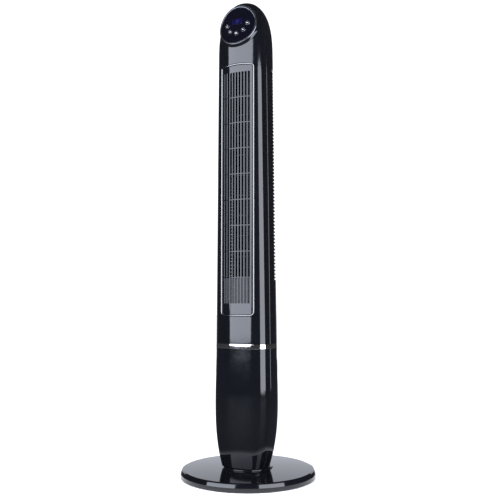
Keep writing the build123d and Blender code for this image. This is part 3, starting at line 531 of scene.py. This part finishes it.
# outlet and panel places
outlet = {
    "half": 43.0, "frame": 3.4, "low": 388.0, "high": 992.0, "rise": 9.0, "corner": 10.0, "shoulder": 0.55,
    "clearance": 0.8, "cut": (-90.0, -35.0), "margin": 0.2, "blindDepth": 2.6, "blindDraft": 0.15, "blackFrom": 1.6,
    "slotLow": 417.5, "slotHigh": 981.0, "cells": 9, "slots": 9, "pitch": 8.25, "slotWidth": 4.4, "bar": 2.2,
    "recess": 1.5, "thick": 3.0, "crown": 1.85, "stretch": (1.0, 4.0, 2.0),
}
panel = {
    "y": -60.0, "z": 1098.0, "tilt": 9.0, "radius": 51.0, "lens": 46.6, "curve": 180.0,
    "lip": 5.5, "clearance": 0.65, "cutDepth": 70.0, "cutBelow": 25.0, "display": (29.0, 15.0, 9.5),
    "buttonRadius": 6.1, "buttonGap": 0.3, "buttonCircle": 28.4, "buttonLift": 6.5,
    "buttonAngles": (-170, -130, -90, -50, -10),
}
panelTilt = radians(panel["tilt"])
panelMatrix = Matrix((
    (1, 0, 0, 0),
    (0, sin(panelTilt), -cos(panelTilt), panel["y"] * mm),
    (0, cos(panelTilt), sin(panelTilt), panel["z"] * mm),
    (0, 0, 0, 1),
))


def outletOutline(grow=0.0, steps=10):
    # Closed outline of the outlet in X and Z, in millimetres, anticlockwise from the lower left.
    o = outlet
    half, low, corner = o["half"] + o["frame"] + grow, o["low"] - grow, o["corner"] + grow
    high, rise = o["high"], o["rise"] + grow
    points = []
    for i in range(steps + 1):
        angle = pi + pi / 2 * i / steps
        points.append((-half + corner + corner * cos(angle), low + corner + corner * sin(angle)))
    for i in range(steps + 1):
        angle = -pi / 2 + pi / 2 * i / steps
        points.append((half - corner + corner * cos(angle), low + corner + corner * sin(angle)))
    shoulder = o["shoulder"]  # share of the rise that each upper corner takes up
    turnIn = corner * shoulder
    upper = [(half - turnIn * t * t, high + rise * shoulder * (2 * t - t * t) * 0.98)
             for t in (i / steps for i in range(steps + 1))]
    points += upper
    archHalf = half - turnIn
    for i in range(1, 2 * steps):
        x = archHalf * (1 - i / steps)
        points.append((x, high + rise * (shoulder + (1 - shoulder) * (1 - (x / archHalf) ** 2))))
    return points + [(-x, z) for x, z in reversed(upper)]


def prism(points, low, high):
    # A closed outline in X and Z, given thickness along Y.
    bm = bmesh.new()
    face = bm.faces.new([bm.verts.new((x * mm, low * mm, z * mm)) for x, z in points])
    top = bmesh.ops.extrude_face_region(bm, geom=[face])["geom"]
    moved = [g for g in top if isinstance(g, bmesh.types.BMVert)]
    bmesh.ops.translate(bm, verts=moved, vec=(0, (high - low) * mm, 0))
    bmesh.ops.recalc_face_normals(bm, faces=bm.faces)
    return bm


def domeHeights(count):
    c = column
    return [c["headZ"] + (c["topZ"] - c["headZ"]) * sin(pi / 2 * 0.985 * i / count) for i in range(count + 1)]


upperHeights = withEnds(column["bandTop"], column["headZ"], 30)[:-2] + domeHeights(34)
tube = columnTube(upperHeights, capped=True)
bodyTree = BVHTree.FromBMesh(tube)

windowCutter = tempObject(prism(outletOutline(outlet["clearance"]), *outlet["cut"]))
cutRadius = (panel["radius"] + panel["clearance"]) * mm
bm = bmesh.new()
bmesh.ops.create_cone(bm, cap_ends=True, segments=128, radius1=cutRadius, radius2=cutRadius,
                      depth=panel["cutDepth"] * mm)
bmesh.ops.translate(bm, verts=bm.verts, vec=(0, 0, (panel["cutDepth"] / 2 - panel["cutBelow"]) * mm))
bmesh.ops.transform(bm, matrix=panelMatrix, verts=bm.verts)
panelCutter = tempObject(bm)
bm = halfShell(tube, True, [windowCutter, panelCutter])
addPiece("upperColumnFront", bm, made["glossBlackAbs"], "column", ["upper_front_shell"])

intake = {"low": 475.0, "high": 1000.0, "side": 4.0, "inner": (10.0, 2.0), "reach": 100.0}
edge, reach = radians(intake["side"]), intake["reach"]
wedge = [intake["inner"], (reach * cos(edge), reach * sin(edge)), (reach, reach)]
wedge += [(-x, y) for x, y in reversed(wedge)]
bm = bmesh.new()
face = bm.faces.new([bm.verts.new((x * mm, y * mm, intake["low"] * mm)) for x, y in wedge])
lifted = [g for g in bmesh.ops.extrude_face_region(bm, geom=[face])["geom"] if isinstance(g, bmesh.types.BMVert)]
bmesh.ops.translate(bm, verts=lifted, vec=(0, 0, (intake["high"] - intake["low"]) * mm))
bmesh.ops.recalc_face_normals(bm, faces=bm.faces)
bm = halfShell(columnTube(upperHeights, capped=True), False, [tempObject(bm)])
addPiece("upperColumnRear", bm, made["glossBlackAbs"], "column", ["upper_rear_shell"])
print("upper column made")

# intake louvres: half rings that slope up inwards, so each one hides the gap above it, on upright spines
louvres = {
    "count": 60, "low": 478.0, "high": 997.0, "side": 5.0, "recess": 1.0, "drop": 1.2, "steps": 36,
    "section": ((0.7, -1.0), (0.7, 0.2), (-1.3, 2.0), (-4.9, 6.2), (-4.9, 4.4), (-1.9, 0.2)),
    "spines": 7, "spineSize": (3.6, 3.0), "spineIn": 4.6, "spineSide": 8.0, "spineSpare": 5.0,
}
start = radians(louvres["side"])
louvreTall = louvres["high"] - louvres["low"]
bm = bmesh.new()
for row in range(louvres["count"]):
    z = louvres["low"] + louvreTall * (row + 0.5) / louvres["count"]
    outer = columnStation(z)[0] - louvres["recess"]
    face = bm.faces.new([
        bm.verts.new(((outer + out) * cos(start) * mm, (outer + out) * sin(start) * mm,
                      (z + up - louvres["drop"]) * mm)) for out, up in louvres["section"]])
    bmesh.ops.spin(bm, geom=[face], cent=(0, 0, 0), axis=(0, 0, 1), angle=pi - 2 * start, steps=louvres["steps"],
                   use_duplicate=False)
for spine in range(louvres["spines"]):
    between = (180 - 2 * louvres["spineSide"]) / (louvres["spines"] - 1)
    angle = radians(louvres["spineSide"] + spine * between)
    rib = bmesh.ops.create_cube(bm, size=1.0)["verts"]
    wide, thick = louvres["spineSize"]
    bmesh.ops.scale(bm, vec=(wide * mm, thick * mm, (louvreTall + louvres["spineSpare"]) * mm), verts=rib)
    for v in rib:
        z = v.co.z / mm + (louvres["low"] + louvres["high"]) / 2
        x, y = v.co.x + (columnStation(z)[0] - louvres["spineIn"]) * mm, v.co.y
        v.co = (x * cos(angle) - y * sin(angle), x * sin(angle) + y * cos(angle), z * mm)
bmesh.ops.recalc_face_normals(bm, faces=bm.faces)
addPiece("rearLouvres", bm, made["satinBlackAbs"], "column", ["rear_grille"], angle=25)
print("louvres made")

# bright band round the joint; each step is its height above the joint and how far it stands out
bandProfile = ((0.0, -2.0), (0.05, 0.2), (0.35, 0.52), (0.9, 0.6), (10.1, 0.6), (10.65, 0.52), (10.95, 0.2),
               (11.0, -2.0))
bm = closedLoft([columnRing(column["bandZ"] + up, -out, station=column["bandTop"]) for up, out in bandProfile])
addPiece("brightBand", bm, made["chromePlate"], "column", ["bright_band"], angle=40)

# base cover, turned as one profile
baseProfile = [
    (163.0, 2.0, 0), (163.0, 11.2, 0.8), (160.0, 18.9, 1.4), (155.8, 21.0, 2.6), (112.0, 23.6, 0), (61.5, 24.5, 1.0),
    (60.2, 25.3, 0.6), (60.0, 27.5, 1.4), (24.2, 27.5, 0.3), (24.2, 24.0, 0), (57.0, 24.0, 0), (57.0, 21.5, 0),
    (153.5, 17.8, 0), (160.0, 12.8, 0), (160.0, 2.0, 0), (163.0, 2.0, 0),
]
bm = spinProfile(roundProfile(baseProfile), 192)
addPiece("baseCover", bm, made["glossBlackAbs"], "base", ["base_cover"], angle=30)
print("base and band made")


# outlet surround and slats, made flat and then bent to the outlet's curve
def bendToOutlet(bm):
    radius = column["faceCurve"]
    for v in bm.verts:
        angle = v.co.x / mm / radius
        out = radius - v.co.y / mm
        v.co.x = out * sin(angle) * mm
        v.co.y = (radius - column["frontDepth"] - out * cos(angle)) * mm


beadCentre = [Vector((x, 0, z)) for x, z in outletOutline(-outlet["frame"] / 2)]
beadCentre = [p for i, p in enumerate(beadCentre) if (p - beadCentre[i - 1]).length > 0.05]
beadShape = [(-1.7, 3.4), (-1.7, 0.3), (-1.45, -0.6), (-0.85, -1.12), (0.0, -1.3), (0.85, -1.12), (1.45, -0.6),
             (1.7, 0.3), (1.7, 3.4)]
rings = []
for across, proud in beadShape:
    ring = []
    for i, p in enumerate(beadCentre):
        along = (beadCentre[(i + 1) % len(beadCentre)] - beadCentre[i - 1]).normalized()
        outward = Vector((along.z, 0, -along.x))
        ring.append(((p.x + outward.x * across) * mm, proud * mm, (p.z + outward.z * across) * mm))
    rings.append(ring)
bm = closedLoft(rings)
longEdges = [e for e in bm.edges if e.calc_length() > 30 * mm]
bmesh.ops.subdivide_edges(bm, edges=longEdges, cuts=8, use_grid_fill=True)
bendToOutlet(bm)
addPiece("outletBead", bm, made["lacqueredTrim"], "column", ["outlet_frame"], angle=40)


def archHeight(x):
    half = outlet["half"]
    return outlet["high"] + (outlet["rise"] - outlet["frame"]) * (0.45 + 0.55 * (1 - (x / half) ** 2))


o = outlet
cellPitch = (o["slotHigh"] - o["slotLow"]) / o["cells"]
bm = bmesh.new()
plateHalf, plateLow, plateHigh = o["half"] - o["margin"], o["low"] + o["frame"] + o["margin"], o["high"] + 2
corners = [(-plateHalf, plateLow), (plateHalf, plateLow), (plateHalf, plateHigh), (-plateHalf, plateHigh)]
bm.faces.new([bm.verts.new((x * mm, o["recess"] * mm, z * mm)) for x, z in corners])
slotEdges = []
for slot in range(o["slots"]):
    centre = (slot - (o["slots"] - 1) / 2) * o["pitch"]
    slotEdges += [centre - o["slotWidth"] / 2, centre + o["slotWidth"] / 2]
cellEdges = []
for cell in range(o["cells"]):
    start = o["slotLow"] + cell * cellPitch
    cellEdges += [start + o["bar"] / 2, start + cellPitch - o["bar"] / 2]
cuts = [((x * mm, 0, 0), (1, 0, 0)) for x in slotEdges] + [((0, 0, z * mm), (0, 0, 1)) for z in cellEdges]
for place, across in cuts:
    bmesh.ops.bisect_plane(bm, geom=bm.verts[:] + bm.edges[:] + bm.faces[:], plane_co=place, plane_no=across)
openCells, blindCells = [], []
for f in bm.faces:
    centre = f.calc_center_median() / mm
    inSlot = any(a < centre.x < b for a, b in zip(slotEdges[::2], slotEdges[1::2]))
    cell = next((i for i, (a, b) in enumerate(zip(cellEdges[::2], cellEdges[1::2])) if a < centre.z < b), None)
    if inSlot and cell is not None:
        (blindCells if cell == 0 else openCells).append(f)
for v in bm.verts:
    if v.co.z / mm > o["slotHigh"] + 4:
        v.co.z = archHeight(v.co.x / mm) * mm
# Stretched in depth and height while the edges are rounded, so the slats end up with a shallow crown.
deeper = o["stretch"][1]
front = Matrix.Translation((0, o["recess"] * mm, 0))
stretch = front @ Matrix.Diagonal((*o["stretch"], 1.0)) @ front.inverted()
bmesh.ops.transform(bm, matrix=stretch, verts=bm.verts)
bmesh.ops.inset_individual(bm, faces=blindCells, thickness=o["blindDraft"] * mm,
                           depth=-o["blindDepth"] * deeper * mm)
bmesh.ops.delete(bm, geom=openCells, context="FACES")
bm.normal_update()
if bm.faces[:][0].normal.y > 0:
    bmesh.ops.reverse_faces(bm, faces=bm.faces)
bm = bakeModifiers(bm, [
    ("SOLIDIFY", {"thickness": o["thick"] * deeper * mm, "offset": -1.0}),
    ("BEVEL", {"width": o["crown"] * mm, "segments": 4, "limit_method": "ANGLE", "angle_limit": radians(50),
               "use_clamp_overlap": False}),
])
bmesh.ops.transform(bm, matrix=stretch.inverted(), verts=bm.verts)
bendToOutlet(bm)
slats = addPiece("outletSlats", bm, made["glossBlackAbs"], "column", ["front_grille"])
slats.data.materials.append(made["satinBlackAbs"])
# The blind cell's pockets are dull inside.
arcMiddle = Vector((0, (column["faceCurve"] - column["frontDepth"]) * mm))
for face in slats.data.polygons:
    deep = column["faceCurve"] - (face.center.xy - arcMiddle).length / mm
    if deep > o["recess"] + o["blackFrom"] and face.center.z < (o["slotLow"] + cellPitch) * mm:
        face.material_index = 1
print("outlet made")


# control panel, made flat around its own middle, curved and then placed
def placeOnPanel(bm):
    for v in bm.verts:
        v.co.z -= (panel["curve"] - sqrt(panel["curve"] ** 2 - (v.co.x / mm) ** 2)) * mm
    bmesh.ops.transform(bm, matrix=panelMatrix, verts=bm.verts)


ringProfile = [(46.75, -3.0, 0), (46.75, -0.35, 0.5), (47.6, 0.0, 1.0), (49.9, -0.1, 1.2), (51.0, -1.4, 0.9),
               (51.0, -3.0, 0), (46.75, -3.0, 0)]
bm = spinProfile(roundProfile(ringProfile), 160)
placeOnPanel(bm)
addPiece("panelRing", bm, made["silverLacquer"], "column", ["panel_ring"], angle=40)

buttonPlaces = [(panel["buttonCircle"] * cos(a), panel["buttonLift"] + panel["buttonCircle"] * sin(a))
                for a in (radians(angle) for angle in panel["buttonAngles"])]

lensProfile = [(0, -0.6, 0)] + [(6 * i, -0.6, 0) for i in range(1, 7)] + [
    (42.0, -0.6, 0), (46.6, -0.65, 0.5), (46.6, -2.8, 0), (38, -2.8, 0), (20, -2.8, 0), (0, -2.8, 0)]
bm = spinProfile(roundProfile(lensProfile), 160)
holes = []
holeRadius, holeDepth = (panel["buttonRadius"] + panel["buttonGap"]) * mm, 20 * mm
for x, y in buttonPlaces:
    hole = bmesh.new()
    bmesh.ops.create_cone(hole, cap_ends=True, segments=40, radius1=holeRadius, radius2=holeRadius, depth=holeDepth)
    bmesh.ops.translate(hole, verts=hole.verts, vec=(x * mm, y * mm, 0))
    holes.append(tempObject(hole))
width, tall, up = panel["display"]
hole = bmesh.new()
bmesh.ops.create_cube(hole, size=1.0)
bmesh.ops.scale(hole, vec=(width * mm, tall * mm, holeDepth), verts=hole.verts)
bmesh.ops.translate(hole, verts=hole.verts, vec=(0, up * mm, 0))
holes.append(tempObject(hole))
bm = bakeModifiers(bm, [], holes)
placeOnPanel(bm)
addPiece("panelLens", bm, made["blackAcrylic"], "column", ["panel_lens"])

window = {"gap": 0.3, "face": -0.62, "thick": 2.1, "edge": 0.25}
bm = bmesh.new()
bmesh.ops.create_grid(bm, x_segments=10, y_segments=4, size=0.5)
bmesh.ops.scale(bm, vec=((width - window["gap"]) * mm, (tall - window["gap"]) * mm, 1), verts=bm.verts)
bmesh.ops.translate(bm, verts=bm.verts, vec=(0, up * mm, window["face"] * mm))
bm = bakeModifiers(bm, [
    ("SOLIDIFY", {"thickness": window["thick"] * mm, "offset": -1.0}),
    ("BEVEL", {"width": window["edge"] * mm, "segments": 2, "limit_method": "ANGLE", "angle_limit": radians(50)}),
])
placeOnPanel(bm)
addPiece("displayWindow", bm, made["litWindow"], "column", ["display_window"])

# two figures of seven segments between two columns of small lamps; a place is across, up, and 1 if it lies flat
figures = {
    "height": 7.6, "width": 4.0, "stroke": 0.85, "gap": 6.2, "lift": 0.05, "show": ("abcdg", "abcdefg"),
    "shortFlat": 0.9, "shortUpright": 0.7, "lampOut": 11.5, "lampLow": -4.2, "lampPitch": 2.8, "lampSize": (1.3, 0.7),
}
segmentPlaces = {
    "a": (0, 0.5, 1), "b": (0.5, 0.25, 0), "c": (0.5, -0.25, 0), "d": (0, -0.5, 1), "e": (-0.5, -0.25, 0),
    "f": (-0.5, 0.25, 0), "g": (0, 0, 1),
}

def addBar(bm, x, y, z, wide, high, thick=0.12):
    # A thin lit or printed bar, flat on the panel.
    bar = bmesh.ops.create_cube(bm, size=1.0)["verts"]
    bmesh.ops.scale(bm, vec=(wide * mm, high * mm, thick * mm), verts=bar)
    bmesh.ops.translate(bm, verts=bar, vec=(x * mm, y * mm, z * mm))

bm = bmesh.new()
lit = window["face"] + figures["lift"]
flatSize = (figures["width"] - figures["shortFlat"], figures["stroke"])
uprightSize = (figures["stroke"], figures["height"] / 2 - figures["shortUpright"])
for place, letters in zip((-1, 1), figures["show"]):
    for letter in letters:
        across, along, flat = segmentPlaces[letter]
        addBar(bm, place * figures["gap"] / 2 + across * figures["width"], up + along * figures["height"], lit,
               *(flatSize if flat else uprightSize))
for i in range(4):
    for side in (-1, 1):
        addBar(bm, side * figures["lampOut"], up + figures["lampLow"] + figures["lampPitch"] * i, lit,
               *figures["lampSize"])
placeOnPanel(bm)
addPiece("displayFigures", bm, made["blueSegments"], "column")

# buttons: a dished silver cap with a black face and a white symbol; each bar is across, up, width and height
buttonProfile = [(0, -0.1, 0), (4.8, -0.1, 0), (5.05, 0.32, 0.25), (5.6, 0.32, 0.25), (6.1, -0.3, 0.4), (6.1, -4.4, 0),
                 (2.0, -4.4, 0), (2.0, -9.6, 0), (0, -9.6, 0)]
symbols = {
    "power": [(0, 1.0, 0.9, 2.4), (0, -1.5, 4.0, 0.9)],
    "speed": [(-1.6, -0.5, 0.9, 1.2), (0, -0.2, 0.9, 1.8), (1.6, 0.1, 0.9, 2.4)],
    "mode": [(0, 0.9, 4.8, 0.8), (0, -0.9, 4.8, 0.8)],
    "timer": [(-0.8, 0.8, 0.9, 2.2), (0.4, -0.4, 3.3, 0.9)],
    "swing": [(0, 0, 4.4, 0.9), (-2.3, 0, 0.8, 2.0), (2.3, 0, 0.8, 2.0)],
}
faceProfile = [(0, -0.09, 0), (4.7, -0.09, 0), (4.7, 0.02, 0.05), (0, 0.02, 0)]
for (name, bars), (x, y) in zip(symbols.items(), buttonPlaces):
    body = "button_%s_body" % name
    for label, profile, finish, slotName, replaced in (
        ("cap_", buttonProfile, "silverLacquer", "button_silver", ["button_" + name]),
        ("face_", faceProfile, "blackInk", "component_black", []),
    ):
        bm = spinProfile(roundProfile(profile), 48)
        bmesh.ops.translate(bm, verts=bm.verts, vec=(x * mm, y * mm, 0))
        placeOnPanel(bm)
        addPiece(label + name, bm, made[finish], body, replaced, angle=30)
    bm = bmesh.new()
    for bx, by, wide, high in bars:
        addBar(bm, x + bx, y + by, 0.06, wide, high)
    placeOnPanel(bm)
    addPiece("symbol_" + name, bm, made["whiteInk"], body)

# raised lip that runs from the ring down to the body
lip = {"inner": 51.1, "top": -1.0, "round": 0.5, "flare": 0.85, "least": 1.2, "steps": 96, "rows": 7,
       "root": -7.0, "above": 20.0, "missed": -18.0, "sunk": 0.4, "drop": 0.6, "measure": 2.5, "fall": 1.8}
panelNormal = panelMatrix.to_3x3() @ Vector((0, 0, 1))

def panelPoint(angle, radius, rise):
    x, y = radius * cos(angle), radius * sin(angle)
    drop = panel["curve"] - sqrt(panel["curve"] ** 2 - x * x)
    return panelMatrix @ Vector((x * mm, y * mm, (rise - drop) * mm))

def bodyDepth(angle, radius):
    # Height of the body's surface, measured square to the panel's face.
    hit = bodyTree.ray_cast(panelPoint(angle, radius, lip["above"]), -panelNormal)
    return lip["above"] - hit[3] / mm if hit[0] is not None else lip["missed"]

rings = [[] for _ in range(lip["rows"] + 4)]
for i in range(lip["steps"]):
    angle = 2 * pi * i / lip["steps"]
    height = max(0.0, lip["top"] - bodyDepth(angle, lip["inner"] + lip["measure"]))
    start = lip["inner"] + lip["round"]
    outer = start + min(lip["least"] + lip["flare"] * height, panel["lip"])
    end = min(bodyDepth(angle, outer) - lip["sunk"], lip["top"] - lip["drop"])
    points = [(lip["inner"], lip["root"]), (lip["inner"], lip["top"] - lip["round"]),
              (lip["inner"] + 0.15, lip["top"] - 0.12)]
    for row in range(lip["rows"] + 1):
        t = row / lip["rows"]
        points.append((start + (outer - start) * t, lip["top"] + (end - lip["top"]) * (1 - (1 - t) ** lip["fall"])))
    for ring, (radius, rise) in zip(rings, points):
        ring.append(tuple(panelPoint(angle, radius, rise)))
bm = closedLoft(rings)
addPiece("panelLip", bm, made["glossBlackAbs"], "column", angle=60)
print("control panel made")
